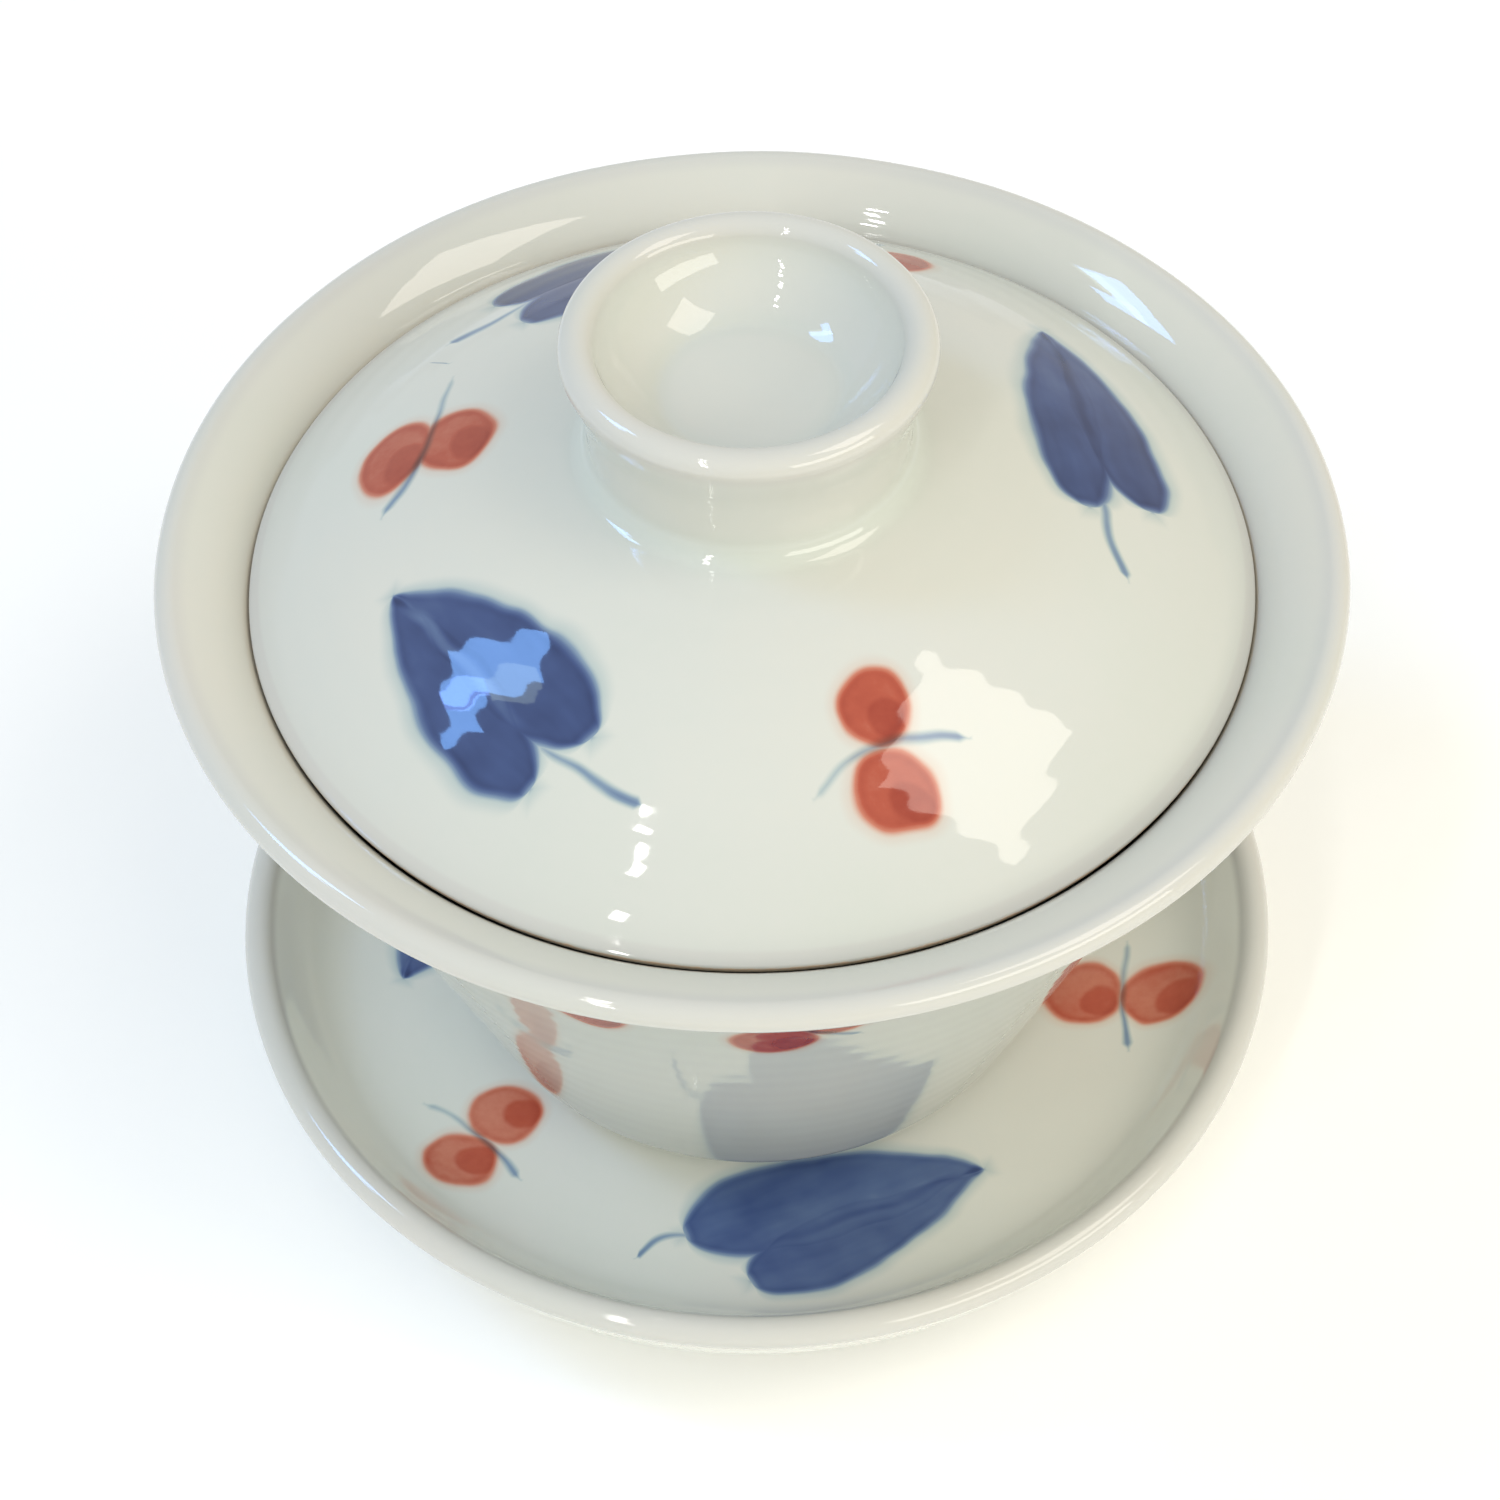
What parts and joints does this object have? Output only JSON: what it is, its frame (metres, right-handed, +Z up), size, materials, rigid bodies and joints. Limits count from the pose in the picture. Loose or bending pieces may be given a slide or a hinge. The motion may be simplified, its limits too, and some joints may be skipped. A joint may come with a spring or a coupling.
{
  "type": "gaiwan",
  "caption": "Lidded bell-shaped porcelain tea bowl with a ring knob, standing on its own saucer, with hand-painted leaves and berries.",
  "frame": {"origin": "on the axis of the set, at the underside of the saucer's foot ring", "axes": "+Z up along the common axis of saucer, bowl and lid; +X to the right and -Y towards a person who faces the set"},
  "size_m": [0.1, 0.1, 0.0887],
  "materials": {
    "saucer_porcelain": "gloss pale celadon glaze over white porcelain, painted in blue and iron red, bare foot ring",
    "bowl_porcelain": "gloss pale celadon glaze over white porcelain, painted in blue and iron red, bare foot ring",
    "lid_porcelain": "gloss pale celadon glaze over white porcelain, painted in blue and iron red, bare seating edge"
  },
  "bodies": {
    "saucer": {"saucer": "saucer_porcelain"},
    "bowl": {"bowl": "bowl_porcelain"},
    "lid": {"lid": "lid_porcelain"}
  },
  "joints": [
    {"name": "bowl_lift", "type": "slide", "parent": "saucer", "child": "bowl", "axis": [0, 0, 1], "range_m": [0, 0.06]},
    {"name": "lid_lift", "type": "slide", "parent": "bowl", "child": "lid", "axis": [0, 0, 1], "range_m": [0, 0.07]}
  ]
}
